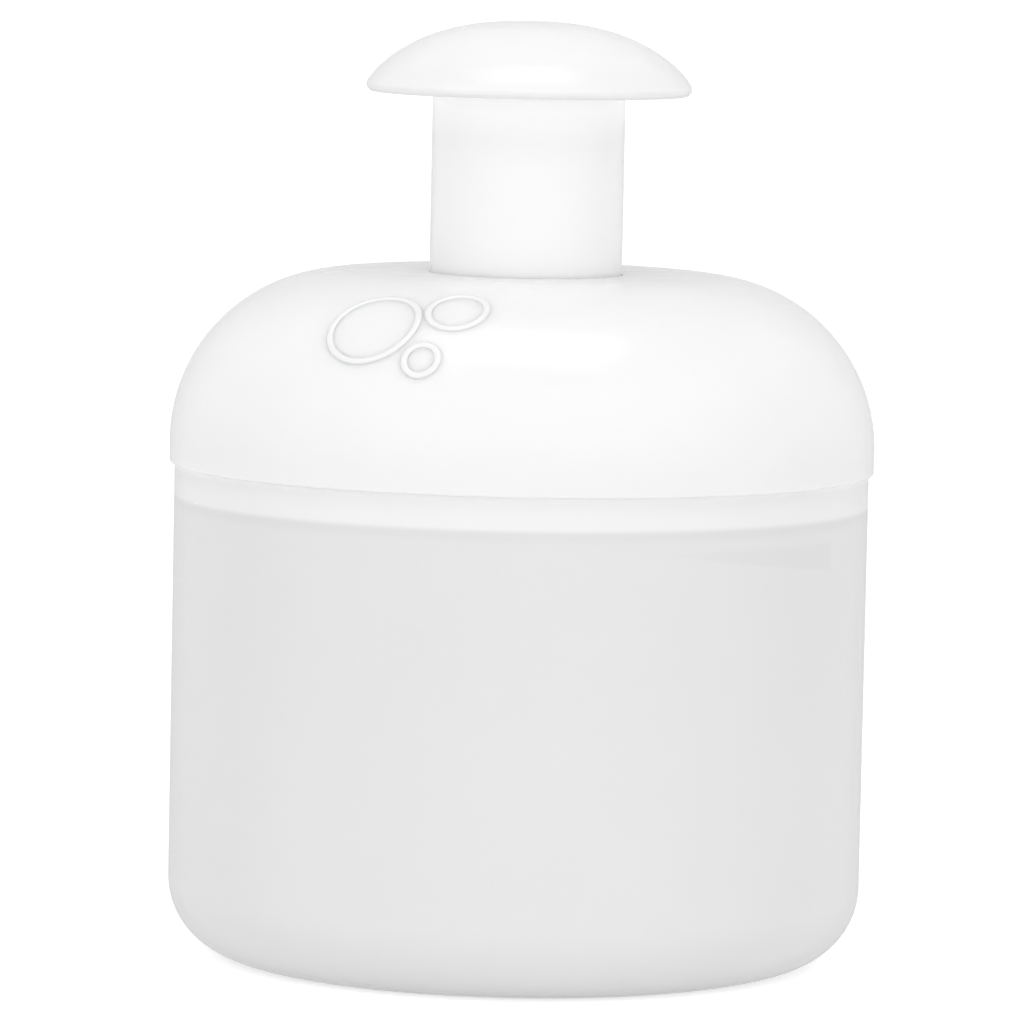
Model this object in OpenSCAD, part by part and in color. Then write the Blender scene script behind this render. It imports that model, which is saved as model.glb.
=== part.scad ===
// Hand-pumped foam maker: a round cup, a domed push-in lid, and a plunger whose
// perforated whisk beats cleanser and water into foam.
// Millimetres, +Z up, origin at the centre of the face that the cup stands on.

/* [Cup] */
// Outside radius of the cup
cup_r = 37; // [35:0.5:42]
// Height of the cup's rim
rim_z = 52.6; // [50:0.1:60]
// Thickness of the cup's wall
cup_wall = 1.8; // [1.6:0.1:2.2]
// Outside radius of the cup's bottom corner
corner_r = 8.3; // [7:0.1:10]

/* [Lid] */
// Height of the dome above the seam
dome_h = 20.6; // [20:0.1:24]
// Radius of the dome's round shoulder
dome_arc = 18.3; // [16:0.1:19]
// How far the lid's skirt reaches into the cup
skirt_depth = 3.9; // [3.8:0.1:5]

/* [Plunger] */
// Radius of the rod
rod_r = 10.25; // [9:0.05:10.5]
// Radius of the knob
knob_r = 17.3; // [16:0.1:20]
// Height of the knob, from its flat underside to its crown
knob_h = 7.7; // [7:0.1:10]
// Length of rod that shows between the lid and the knob
knob_lift = 19; // [17:0.5:20]

/* [Whisk] */
// Diameter of the upper plate's holes
upper_hole_d = 2.4; // [1.6:0.1:2.8]
// Diameter of the lower plate's holes
lower_hole_d = 3.2; // [2.4:0.1:3.6]
// Distance between strands of the net
net_pitch = 4; // [3.5:0.5:6]

/* [Hidden] */
$fn = 96;
join = 0.05;            // how far features of one piece reach into each other
through = 1;            // how far a cutter runs past what it cuts
fit = 0.03;             // gap between pieces that are pressed together

// Cup
floor_t = 2;
foot_rise = 1.2;        // how far the base is pushed up inside its foot ring
foot_r = 24;
floor_z = foot_rise + floor_t;
cup_inner_r = cup_r - cup_wall;
inner_corner_r = corner_r - floor_t;
rim_round = 0.4;

// Low wedge that is moulded on the cup's inner wall, just under the lid's skirt
wedge_azimuth = -46;
wedge_span = 34;
wedge_z = rim_z - 8.7;
wedge_h = 3.3;
wedge_depth = 0.9;
wedge_tilt = 6.6;
wedge_slope_h = 1.2;    // height of the sloped underside at the middle of the wedge

// Lid
seam = 0.1;             // gap that shows between the lid and the rim
seam_z = rim_z + seam;
dome_top_z = seam_z + dome_h;
dome_wall = 1.2;
dome_overhang = 0.55;
dome_r = cup_r + dome_overhang;
dome_inner_r = dome_r - dome_wall;
shelf_z = seam_z;
shelf_t = 1.6;
shelf_r = dome_inner_r - fit;
skirt_z = seam_z - skirt_depth;
skirt_play = 0.3;
skirt_r = cup_inner_r - skirt_play;
skirt_wall = 2.2;

// Soft ring in a groove around the skirt, with two lips that grip the cup's wall
gasket_z = skirt_z + 0.9;
gasket_h = 1.9;
gasket_seat = 0.05;
groove_depth = 1;
groove_r = skirt_r - groove_depth;
gasket_gap = 0.04;      // running gap between the gasket's lips and the cup
gasket_lip_r = cup_inner_r - gasket_gap;
gasket_lip_h = 0.5;
gasket_lip_depth = 0.5;

snap_h = 0.6;
snap_z = shelf_z + snap_h;
snap_depth = 0.15;

// Guide tube for the rod, with a soft wiper at its lower end
rod_play = 0.2;
guide_bore_r = rod_r + rod_play;
guide_wall = 2;
guide_r = guide_bore_r + guide_wall;
guide_top_z = dome_top_z - dome_wall - fit;
wiper_w = 2;
wiper_seat = 0.05;
pocket_r = rod_r + wiper_w + wiper_seat;
wiper_h = 2.4;
wiper_gap = 0.05;       // running gap between the wiper's lips and the rod
lip_h = 0.6;
lip_depth = 0.7;
retainer_t = 1.4;
retainer_w = 1.95;
retainer_play = 0.3;
retainer_r = pocket_r + retainer_w;
wiper_z = shelf_z + retainer_t;
pocket_top_z = wiper_z + wiper_h;
boss_wall = 1.6;
boss_r = retainer_r + boss_wall;
boss_top_z = pocket_top_z + dome_wall;

// Emblem: raised bubble rings on the dome's shoulder
emblem_azimuth = -114;
emblem_elevation = 54;
emblem_rise = 0.3;
emblem_line = 0.8;
emblem_cut = 5;         // length of the tool that carries the emblem to the shoulder
// Each bubble is its centre along the rim, its centre up the shoulder and its radius
bubbles = [[-3.4, -0.8, 5.2], [4.8, 2.4, 3.4], [3.4, -5, 2.2]];

// Knob and rod
knob_z = dome_top_z + knob_lift;
knob_top_z = knob_z + knob_h;
rod_wall = 1.6;
rod_bore_r = rod_r - rod_wall;
knob_rim_h = 0.85;
knob_rim_round = 0.8;
knob_wall = 1.5;
flange_r = knob_r - 1.7;
flange_t = 1.3;
plug_r = rod_bore_r - fit;
plug_depth = 6;
plug_wall = 1.5;
plug_top = 0.2;         // how far the plug runs up into the crown
crown_power = 2.45;     // powers of the crown's superellipse, across and up
crown_rise_power = 1.31;
crown_steps = 28;

// Whisk
down_travel = knob_lift - 0.2;
floor_play = 1;
lower_z = floor_z + floor_play + down_travel;
plate_t = 1.6;
frame_z = lower_z + plate_t;
frame_h = 3;
upper_z = frame_z + frame_h;
upper_play = 1.6;       // gap between the whisk and the cup, so that foam can pass
upper_r = cup_inner_r - upper_play;
lower_r = upper_r - 3;
lower_round = 0.7;
brim_t = 1;
brim_h = 2.2;
frame_r = lower_r - 0.6;
frame_w = 1.4;
ledge_w = 1.2;
spoke_count = 4;
spoke_w = 1.2;
spoke_h = 1.2;
spoke_reach = 0.2;      // how far a spoke runs into the hub and the ledge
net_z = frame_z + spoke_h;
strand = 0.4;
net_r = frame_r - frame_w - fit;
clamp_z = net_z + strand + fit;
stem_r = 4;             // bore that the lock cap's stem passes through
stem_play = 0.1;
clamp_r = stem_r + 2.2;
hub_wall = 1.75;
hub_r = rod_r + hub_wall;
hub_h = 4;
hub_floor_t = 1;
rod_foot_z = upper_z + plate_t + hub_floor_t;
cap_r = 5.6;
cap_head_t = 1;
cap_sink = 0.6;         // depth of the seat that the cap's head lies in
cap_stem_r = stem_r - stem_play;
cap_barb = 0.4;
cap_barb_h = 0.9;
cap_slot_w = 1.4;
// Circles of holes in the two plates, each as its radius and how many holes it has
upper_rings = [[14.9, 20], [18.6, 25], [22.3, 30], [25.9, 35]];
lower_rings = [[10.5, 12], [15.5, 18], [20.5, 24], [25.5, 30]];

// Half profile of a drum of radius r from z0 to z1, with its low and high corners rounded.
module drum(r, z0, z1, low = 0, high = 0) {
    intersection() {
        translate([0, z0]) square([r, z1 - z0]);
        union() {
            translate([0, z0 + low]) square([r, z1 - z0 - low - high]);
            if (low > 0) {
                translate([0, z0]) square([r - low, low + join]);
                translate([r - low, z0 + low]) circle(low);
            }
            if (high > 0) {
                translate([0, z1 - high - join]) square([r - high, high + join]);
                translate([r - high, z1 - high]) circle(high);
            }
        }
    }
}

// Half profile of a ring between two radii and two heights.
module ring(r0, r1, z0, z1) {
    translate([r0, z0]) square([r1 - r0, z1 - z0]);
}

// Part of a ring, centred on the X axis.
module ring_segment(r0, r1, z0, z1, span) {
    rotate([0, 0, -span / 2]) rotate_extrude(angle = span) ring(r0, r1, z0, z1);
}

// Holes of diameter d through a plate of thickness t, on several circles.
module hole_rings(rings, d, z, t) {
    for (circle_of = rings, i = [0:circle_of[1] - 1])
        rotate([0, 0, 360 * i / circle_of[1]])
            translate([circle_of[0], 0, z - through]) cylinder(d = d, h = t + 2 * through);
}

// Round cup with a base that is pushed up inside its foot ring.
module cup() {
    color("gainsboro") {
        rotate_extrude() difference() {
            drum(cup_r, 0, rim_z, corner_r, rim_round);
            drum(cup_inner_r, floor_z, rim_z + through, inner_corner_r);
            polygon([
                [0, -through], [foot_r, -through], [foot_r, 0],
                [foot_r - foot_rise, foot_rise], [0, foot_rise]
            ]);
        }
        rotate([0, 0, wedge_azimuth]) intersection() {
            ring_segment(cup_inner_r - wedge_depth, cup_inner_r + join,
                         wedge_z, wedge_z + wedge_h, wedge_span);
            translate([0, 0, wedge_z + wedge_slope_h]) rotate([-wedge_tilt, 0, 0])
                translate([0, -cup_r, 0]) cube([cup_r, 2 * cup_r, 2 * wedge_h]);
        }
    }
}

// Soft ring that seals the lid's skirt against the cup's wall.
module lid_gasket() {
    low_z = gasket_z + gasket_seat;
    high_z = gasket_z + gasket_h - gasket_seat;
    color("snow") rotate_extrude() {
        ring(groove_r + gasket_seat, gasket_lip_r - gasket_lip_depth, low_z, high_z);
        for (z = [low_z, high_z - gasket_lip_h])
            ring(groove_r + gasket_seat + join, gasket_lip_r, z, z + gasket_lip_h);
    }
}

// Inner wall of the lid, with the skirt that plugs the cup and the rod's guide.
module lid_liner() {
    color("whitesmoke") {
        rotate_extrude() difference() {
            union() {
                ring(guide_bore_r, shelf_r, shelf_z, shelf_z + shelf_t);
                ring(shelf_r - join, shelf_r + snap_depth, snap_z, snap_z + snap_h);
                ring(skirt_r - skirt_wall, skirt_r, skirt_z, shelf_z + join);
                ring(guide_bore_r, boss_r, shelf_z, boss_top_z);
                ring(guide_bore_r, guide_r, shelf_z, guide_top_z);
            }
            ring(groove_r, skirt_r + through, gasket_z, gasket_z + gasket_h);
            ring(0, pocket_r, wiper_z - join, pocket_top_z);
            ring(0, retainer_r, shelf_z - through, wiper_z);
        }
    }
}

// The emblem's rings, carried onto the dome's shoulder.
module emblem() {
    intersection() {
        rotate_extrude() difference() {
            drum(dome_r + emblem_rise, seam_z, dome_top_z + emblem_rise, 0, dome_arc + emblem_rise);
            drum(dome_r - join, seam_z - through, dome_top_z - join, 0, dome_arc - join);
        }
        rotate([0, 0, emblem_azimuth])
            translate([dome_r - dome_arc, 0, dome_top_z - dome_arc])
                rotate([0, 90 - emblem_elevation, 0])
                    translate([0, 0, dome_arc - emblem_cut / 2]) linear_extrude(emblem_cut)
                        for (bubble = bubbles) translate([-bubble[1], bubble[0]]) difference() {
                            circle(bubble[2]);
                            circle(bubble[2] - emblem_line);
                        }
    }
}

// Outer shell of the lid.
module lid_dome() {
    color("white") {
        rotate_extrude() difference() {
            drum(dome_r, seam_z, dome_top_z, 0, dome_arc);
            drum(dome_inner_r, seam_z - through, dome_top_z - dome_wall, 0, dome_arc - dome_wall);
            ring(0, guide_bore_r, dome_top_z - dome_wall - through, dome_top_z + through);
            ring(dome_inner_r - join, dome_inner_r + snap_depth, snap_z - fit, snap_z + snap_h + fit);
        }
        emblem();
    }
}

// Ring that is pressed into the liner and keeps the wiper in its pocket.
module wiper_retainer() {
    color("whitesmoke") rotate_extrude()
        ring(guide_bore_r + retainer_play, retainer_r - fit, shelf_z, wiper_z - fit);
}

// Soft ring with two lips that wipe the rod and hold it at any height.
module rod_wiper() {
    color("snow") rotate_extrude() {
        ring(rod_r + wiper_gap + lip_depth, pocket_r - wiper_seat,
             wiper_z + wiper_seat, pocket_top_z - wiper_seat);
        for (z = [wiper_z + wiper_seat, pocket_top_z - wiper_seat - lip_h])
            ring(rod_r + wiper_gap, pocket_r - wiper_seat - join, z, z + lip_h);
    }
}

// Outline of a crown from its rim up to the axis, as a superellipse.
function crown(r, z0, h) = [
    for (i = [0:crown_steps])
        let (a = 90 - 90 * i / crown_steps)
            [r * pow(sin(a), 2 / crown_power), z0 + h * pow(cos(a), 2 / crown_rise_power)]
];

// Hollow mushroom cap that is pressed over the rod's flange.
module knob_cap() {
    rim_top_z = knob_z + knob_rim_h;
    flange_top_z = knob_z + flange_t + fit;
    color("white") rotate_extrude() {
        difference() {
            union() {
                drum(knob_r, knob_z, rim_top_z, knob_rim_round);
                polygon(concat([[0, rim_top_z - join], [knob_r, rim_top_z - join]],
                               crown(knob_r, rim_top_z, knob_top_z - rim_top_z)));
            }
            polygon(concat([[0, knob_z - through], [flange_r + fit, knob_z - through]],
                           crown(flange_r + fit, flange_top_z,
                                 knob_top_z - knob_wall - flange_top_z)));
        }
        ring(plug_r - plug_wall, plug_r, knob_z - plug_depth, knob_top_z - knob_wall - plug_top);
    }
}

// Hollow rod with the flange that closes the knob from below.
module rod() {
    color("white") rotate_extrude() {
        ring(rod_bore_r, rod_r, rod_foot_z, knob_z + join);
        ring(rod_bore_r, flange_r, knob_z, knob_z + flange_t);
        ring(stem_r, rod_bore_r + join, rod_foot_z, rod_foot_z + rod_wall);
    }
}

// Socket that the rod's foot stands in.
module whisk_hub() {
    hub_z = upper_z + plate_t;
    color("white") rotate_extrude() {
        ring(stem_r, hub_r, hub_z, rod_foot_z - fit);
        ring(rod_r + fit, hub_r, hub_z, rod_foot_z + hub_h);
    }
}

// Perforated disc with a downward brim, and with two rings that hold the net down.
module whisk_upper_plate() {
    color("white") difference() {
        rotate_extrude() {
            ring(stem_r, upper_r, upper_z, upper_z + plate_t);
            ring(upper_r - brim_t, upper_r, upper_z - brim_h, upper_z + join);
            ring(stem_r, clamp_r, clamp_z, upper_z + join);
            ring(net_r - ledge_w, net_r - fit, clamp_z, upper_z + join);
        }
        hole_rings(upper_rings, upper_hole_d, upper_z, plate_t);
    }
}

// Square net: strands along X and along Y in one layer.
module whisk_net() {
    half = floor(net_r / net_pitch);
    color("white") intersection() {
        rotate_extrude() ring(stem_r + stem_play, net_r, net_z, net_z + strand);
        for (i = [-half:half], turn = [0, 90])
            rotate([0, 0, turn]) translate([-frame_r, i * net_pitch - strand / 2, net_z - join])
                cube([2 * frame_r, strand, strand + 2 * join]);
    }
}

// Ring, ledge, hub and spokes that carry the net between the plates.
module whisk_net_frame() {
    color("whitesmoke") {
        rotate_extrude() {
            ring(frame_r - frame_w, frame_r, frame_z, upper_z);
            ring(net_r - ledge_w, frame_r - join, frame_z, net_z);
            ring(stem_r + stem_play, clamp_r, frame_z, net_z);
        }
        for (i = [0:spoke_count - 1]) rotate([0, 0, 360 * (i + 0.5) / spoke_count])
            translate([clamp_r - spoke_reach, -spoke_w / 2, frame_z])
                cube([net_r - ledge_w - clamp_r + 2 * spoke_reach, spoke_w, spoke_h]);
    }
}

// Perforated disc that meets the water first.
module whisk_lower_plate() {
    color("white") difference() {
        rotate_extrude() difference() {
            drum(lower_r, lower_z, frame_z, lower_round);
            ring(0, stem_r, lower_z - through, frame_z + through);
            ring(0, cap_r + stem_play, lower_z - through, lower_z + cap_sink);
        }
        hole_rings(lower_rings, lower_hole_d, lower_z, plate_t);
    }
}

// Push-in cap whose barbed stem locks the plates and the net to the rod's foot.
module whisk_lock_cap() {
    head_z = lower_z + cap_sink - cap_head_t;
    barb_z = rod_foot_z + rod_wall + fit;
    color("white") difference() {
        rotate_extrude() {
            ring(0, cap_r, head_z, head_z + cap_head_t);
            ring(0, cap_stem_r, head_z + cap_head_t - join, barb_z + join);
            ring(0, stem_r + cap_barb, barb_z, barb_z + cap_barb_h);
        }
        translate([-cap_r - through, -cap_slot_w / 2, head_z - through])
            cube([2 * (cap_r + through), cap_slot_w, through + cap_head_t / 2]);
    }
}

cup();
lid_gasket();
lid_liner();
lid_dome();
wiper_retainer();
rod_wiper();
rod();
knob_cap();
whisk_hub();
whisk_upper_plate();
whisk_net();
whisk_net_frame();
whisk_lower_plate();
whisk_lock_cap();
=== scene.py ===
"""Looks of the hand-pumped foam maker: a milky cup, a white domed lid and a mushroom-knobbed plunger.

Every piece is built round its CAD node's box, in metres, with +Z up and the cup standing on z = 0.
"""
import math

import bmesh
import bpy
from mathutils import Matrix, Vector
from mathutils.bvhtree import BVHTree


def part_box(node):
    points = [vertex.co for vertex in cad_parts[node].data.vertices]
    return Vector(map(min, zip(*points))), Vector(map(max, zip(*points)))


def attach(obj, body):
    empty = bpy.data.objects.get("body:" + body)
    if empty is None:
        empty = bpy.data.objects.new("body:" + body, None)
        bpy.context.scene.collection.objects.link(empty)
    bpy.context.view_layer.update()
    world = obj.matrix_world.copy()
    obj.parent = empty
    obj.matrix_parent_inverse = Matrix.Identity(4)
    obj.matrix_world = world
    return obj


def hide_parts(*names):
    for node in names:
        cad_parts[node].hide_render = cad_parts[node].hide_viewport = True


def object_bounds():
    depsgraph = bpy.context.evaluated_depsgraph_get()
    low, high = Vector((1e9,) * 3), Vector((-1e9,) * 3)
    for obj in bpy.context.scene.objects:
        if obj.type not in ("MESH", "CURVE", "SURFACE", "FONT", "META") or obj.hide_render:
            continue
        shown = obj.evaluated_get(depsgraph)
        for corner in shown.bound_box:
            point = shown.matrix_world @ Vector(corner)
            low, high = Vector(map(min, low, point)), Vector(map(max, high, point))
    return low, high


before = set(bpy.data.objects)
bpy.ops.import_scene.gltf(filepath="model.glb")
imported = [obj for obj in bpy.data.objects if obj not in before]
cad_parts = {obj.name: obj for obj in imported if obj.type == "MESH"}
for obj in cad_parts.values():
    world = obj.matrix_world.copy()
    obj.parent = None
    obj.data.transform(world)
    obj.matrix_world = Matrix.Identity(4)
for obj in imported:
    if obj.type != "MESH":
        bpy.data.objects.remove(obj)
cad_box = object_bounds()

MM = 0.001

# Driving sizes, read from the frame.
total_height = cad_box[1].z
_, cup_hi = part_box("cup")
dome_lo, dome_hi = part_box("lid_dome")
liner_lo, liner_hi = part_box("lid_liner")
gasket_lo, gasket_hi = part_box("lid_gasket")
retainer_lo, retainer_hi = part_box("wiper_retainer")
_, wiper_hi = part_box("rod_wiper")
rod_lo, rod_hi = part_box("rod")
knob_lo, knob_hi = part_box("knob_cap")
hub_lo, hub_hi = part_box("whisk_hub")
upper_lo, upper_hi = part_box("whisk_upper_plate")
net_lo, net_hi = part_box("whisk_net")
net_frame_lo, net_frame_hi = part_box("whisk_net_frame")
lower_lo, lower_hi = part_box("whisk_lower_plate")
lock_lo, lock_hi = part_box("whisk_lock_cap")

HUB_PROUD = 1.75 * MM           # how far the hub stands out round the rod
ROD_R = hub_hi.x - HUB_PROUD
STEM_R = 4.0 * MM               # bore through the whisk for the lock cap's stem


# ---------------------------------------------------------------- camera
LENS = 257.4
SENSOR = 36.0
CAMERA_AWAY = 7.779             # distance from the object's axis, in heights of the object
CAMERA_UP = 1.214               # height above the floor, in heights of the object
CAMERA_PITCH = math.radians(5.446)
CAMERA_ROLL = math.radians(1.16)
SHIFT = (-0.0085, 0.0041)
SEEN = (0.05, 20.0)             # nearest and furthest that the camera sees


def make_camera():
    """A long lens a little above the lid, tipped sideways by about a degree."""
    data = bpy.data.cameras.new("camera")
    data.lens = LENS
    data.sensor_width = SENSOR
    data.shift_x, data.shift_y = SHIFT
    data.clip_start, data.clip_end = SEEN
    camera = bpy.data.objects.new("camera", data)
    bpy.context.scene.collection.objects.link(camera)
    camera.location = (0.0, -CAMERA_AWAY * total_height, CAMERA_UP * total_height)
    level = Matrix.Rotation(math.pi / 2 - CAMERA_PITCH, 4, "X")
    roll = Matrix.Rotation(CAMERA_ROLL, 4, "Z")
    camera.rotation_euler = (level @ roll).to_euler()
    bpy.context.scene.camera = camera


make_camera()


# ---------------------------------------------------------------- mesh helpers
STEPS = 256                     # segments round a lathed piece
SHARP = 32                      # degrees past which an edge stays sharp
SAME_PLACE = 1e-7               # places closer than this are one
LEAST_ARC_STEPS = 3
LEAST_MITRE = 0.5               # keeps a chamfer from running out at a sharp corner


def polar(radius, angle, z=0.0):
    """Point at a radius and an angle round the Z axis."""
    return Vector((radius * math.cos(angle), radius * math.sin(angle), z))


def rounded(corners, steps=10, closed=True):
    """Outline through (r, z, fillet) corners, each rounded by an arc with steps for a right angle."""
    points = []
    count = len(corners)
    for i, (r, z, fillet) in enumerate(corners):
        here = Vector((r, z))
        if fillet <= 0 or (not closed and i in (0, count - 1)):
            points.append(here)
            continue
        before = (Vector(corners[i - 1][:2]) - here).normalized()
        after = (Vector(corners[(i + 1) % count][:2]) - here).normalized()
        half = before.angle(after) / 2
        reach = fillet / math.tan(half)
        centre = here + (before + after).normalized() * fillet / math.sin(half)
        start = here + before * reach - centre
        whole_turn = start.angle_signed(here + after * reach - centre)
        arc_steps = max(LEAST_ARC_STEPS, round(steps * abs(whole_turn) / (math.pi / 2)))
        for k in range(arc_steps + 1):
            turn = -whole_turn * k / arc_steps
            c, s = math.cos(turn), math.sin(turn)
            points.append(centre + Vector((start.x * c - start.y * s, start.x * s + start.y * c)))
    return points


def ring_of(bm, r, z, segments=STEPS):
    """Circle of vertices, or one vertex where r is 0."""
    if r < SAME_PLACE:
        return [bm.verts.new((0, 0, z))]
    return [bm.verts.new(polar(r, 2 * math.pi * i / segments, z)) for i in range(segments)]


def bridge(bm, one, two):
    """Faces between two rings of vertices, either of which may be a single pole."""
    segments = max(len(one), len(two))
    for i in range(segments):
        j = (i + 1) % segments
        if len(one) == 1:
            bm.faces.new((one[0], two[i], two[j]))
        elif len(two) == 1:
            bm.faces.new((one[i], one[j], two[0]))
        else:
            bm.faces.new((one[i], one[j], two[j], two[i]))


def sweep(bm, outline, closed=False, segments=STEPS):
    """Sweeps a (r, z) outline round the Z axis and gives its first and last rings."""
    rings = [ring_of(bm, r, z, segments) for r, z in outline]
    pairs = list(zip(rings, rings[1:]))
    if closed:
        pairs.append((rings[-1], rings[0]))
    for one, two in pairs:
        if len(one) > 1 or len(two) > 1:
            bridge(bm, one, two)
    return rings[0], rings[-1]


def lathe(bm, outline, segments=STEPS):
    """Adds the solid that a closed (r, z) outline sweeps round the Z axis. Points at r = 0 are poles."""
    sweep(bm, outline, closed=True, segments=segments)


def hole_wall(bm, loop, low, high, chamfer):
    """Wall of a hole through a plate, with chamfered rims. Gives its low and high rims."""
    count = len(loop)
    outward = []
    for i in range(count):
        before = (loop[i] - loop[i - 1]).normalized()
        after = (loop[(i + 1) % count] - loop[i]).normalized()
        side = (before + after).normalized()
        outward.append(Vector((side.y, -side.x)) * chamfer / max(side.dot(after), LEAST_MITRE))
    rings = [
        [bm.verts.new((*(p + out * spread), z)) for p, out in zip(loop, outward)]
        for z, spread in ((low, 1), (low + chamfer, 0), (high - chamfer, 0), (high, 1))
    ]
    for one, two in zip(rings, rings[1:]):
        bridge(bm, one, two)
    return rings[0], rings[-1]


def fill_flat(bm, rims, up):
    """Fills the flat face between an outer rim and the rims inside it."""
    edges = []
    for rim in rims:
        for i, vert in enumerate(rim):
            other = rim[(i + 1) % len(rim)]
            edges.append(bm.edges.get((vert, other)) or bm.edges.new((vert, other)))
    bmesh.ops.triangle_fill(bm, use_beauty=True, edges=edges, normal=(0, 0, 1 if up else -1))


def circle_loop(centre, radius, steps):
    """Counter-clockwise loop round a hole."""
    return [centre + Vector((radius * math.cos(a), radius * math.sin(a)))
            for a in (2 * math.pi * i / steps for i in range(steps))]


def hole_loops(circles, diameter, steps=20):
    """Loops of the round holes on several circles, each given as its radius and how many holes."""
    return [
        circle_loop(polar(radius, 2 * math.pi * i / count).xy, diameter / 2, steps)
        for radius, count in circles for i in range(count)
    ]


def new_object(name, bm, body, nodes=(), material=None, smooth=SHARP):
    """Turns a bmesh into a smooth-shaded piece that rides on a CAD body."""
    bmesh.ops.remove_doubles(bm, verts=bm.verts, dist=SAME_PLACE)
    bmesh.ops.recalc_face_normals(bm, faces=bm.faces)
    mesh = bpy.data.meshes.new(name)
    bm.to_mesh(mesh)
    bm.free()
    mesh.shade_smooth()
    mesh.set_sharp_from_angle(angle=math.radians(smooth))
    obj = bpy.data.objects.new(name, mesh)
    bpy.context.scene.collection.objects.link(obj)
    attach(obj, body)
    if nodes:
        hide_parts(*nodes)
    if material:
        mesh.materials.append(material)
    return obj


# ---------------------------------------------------------------- materials
# A noise's scale counts its features per metre, and a glow is painted light on the plastic.
IOR = 1.49                      # polypropylene
SCATTER = 0.8                   # share of the light that scatters under the surface
SCATTER_DEPTH = 2.2 * MM
SCATTER_RADIUS = (1.0, 1.0, 0.95)
SATIN = 0.2                     # roughness of the cup
GLOSSY = 0.18                   # roughness of the lid, the rod and the knob
RELIEF = 0.01 * MM              # height of the fine unevenness of a moulded surface
CLOUD_SCALE = 45.0
PAINTED_SHADE = 0.14                # painted shade: how much darker plastic is painted below a height
PAINTED_SHADE_SOFT = 2.2 * MM

# Finish of moulded plastic.
PATCH_SCALE = 90.0
PATCH_SPREAD = 0.15             # share by which the roughness varies from patch to patch
SCUFF_SCALE = 160.0
SCUFF_STRETCH = (1.0, 1.0, 9.0)
SCUFF_ROUGHNESS = 0.07
SCUFF_RANGE = (0.62, 0.78)      # values of the noise where a scuff starts and where it is full
WAVE_SCALE = 70.0
WAVE_RELIEF = 4.0               # as a multiple of the relief
WAVE_STRENGTH = 0.35
PEEL_SCALE = 2600.0
PEEL_RELIEF = 0.1
PEEL_STRENGTH = 0.25


def new_material(name):
    """(material, its node tree, its principled shader) of a fresh node material."""
    material = bpy.data.materials.new(name)
    material.use_nodes = True
    tree = material.node_tree
    return material, tree, tree.nodes["Principled BSDF"]


def noise(tree, coords, scale, detail=2.0, stretch=None):
    """Noise texture in object space, which may be stretched along an axis."""
    texture = tree.nodes.new("ShaderNodeTexNoise")
    texture.inputs["Scale"].default_value = scale
    texture.inputs["Detail"].default_value = detail
    source = coords.outputs["Object"]
    if stretch:
        mapping = tree.nodes.new("ShaderNodeMapping")
        mapping.inputs["Scale"].default_value = stretch
        tree.links.new(source, mapping.inputs["Vector"])
        source = mapping.outputs["Vector"]
    tree.links.new(source, texture.inputs["Vector"])
    return texture.outputs["Fac"]


def remap(tree, source, low, high, start=0.3, end=0.7):
    """Maps a value from start..end, by default most of a noise's range, to low..high."""
    node = tree.nodes.new("ShaderNodeMapRange")
    node.inputs["From Min"].default_value = start
    node.inputs["From Max"].default_value = end
    node.inputs["To Min"].default_value = low
    node.inputs["To Max"].default_value = high
    tree.links.new(source, node.inputs["Value"])
    return node.outputs["Result"]


def tint(tree, value, dark, light):
    """Colour between dark and light, chosen by value."""
    mix = tree.nodes.new("ShaderNodeMix")
    mix.data_type = "RGBA"
    mix.inputs["A"].default_value = (*dark, 1)
    mix.inputs["B"].default_value = (*light, 1)
    tree.links.new(value, mix.inputs["Factor"])
    return mix.outputs["Result"]


def clouded(tree, coords, scale, detail, dark, light):
    """Colour that drifts in soft clouds between dark and light."""
    return tint(tree, remap(tree, noise(tree, coords, scale, detail), 0.0, 1.0), dark, light)


def grey(level):
    """Neutral colour of a brightness."""
    return (level, level, level)


def shade(colour, factor):
    """Colour made lighter or darker by a number."""
    return tuple(c * factor for c in colour)


def math_node(tree, operation, *values):
    """Result of a math node on sockets or plain numbers."""
    node = tree.nodes.new("ShaderNodeMath")
    node.operation = operation
    for place, value in enumerate(values):
        if isinstance(value, (int, float)):
            node.inputs[place].default_value = value
        else:
            tree.links.new(value, node.inputs[place])
    return node.outputs[0]


def inverted(tree, value):
    """1 where the value is 0, and 0 where it is 1."""
    return math_node(tree, "SUBTRACT", 1.0, value)


def axes(tree, place):
    """X, Y and Z of a place."""
    split = tree.nodes.new("ShaderNodeSeparateXYZ")
    tree.links.new(place, split.inputs["Vector"])
    return [split.outputs[axis] for axis in "XYZ"]


def distance(tree, x, y):
    """Length of the way that goes x along one axis and y along another."""
    squares = [math_node(tree, "MULTIPLY", side, side) for side in (x, y)]
    return math_node(tree, "SQRT", math_node(tree, "ADD", *squares))


def step(tree, value, edge, soft):
    """Rises smoothly from 0 to 1 where value passes edge, over a width of 2 * soft."""
    node = tree.nodes.new("ShaderNodeMapRange")
    node.interpolation_type = "SMOOTHSTEP"
    node.inputs["From Min"].default_value = -soft
    node.inputs["From Max"].default_value = soft
    tree.links.new(math_node(tree, "SUBTRACT", value, edge), node.inputs["Value"])
    return node.outputs["Result"]


def scaled(tree, colour, factor):
    """Colour socket made lighter or darker by a factor's socket."""
    scale = tree.nodes.new("ShaderNodeVectorMath")
    scale.operation = "SCALE"
    tree.links.new(colour, scale.inputs[0])
    tree.links.new(factor, scale.inputs["Scale"])
    return scale.outputs["Vector"]


def bump(tree, height, distance, strength, below=None):
    """Bump that may lie on top of another bump."""
    node = tree.nodes.new("ShaderNodeBump")
    node.inputs["Strength"].default_value = strength
    node.inputs["Distance"].default_value = distance
    tree.links.new(height, node.inputs["Height"])
    if below:
        tree.links.new(below, node.inputs["Normal"])
    return node.outputs["Normal"]


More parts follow.
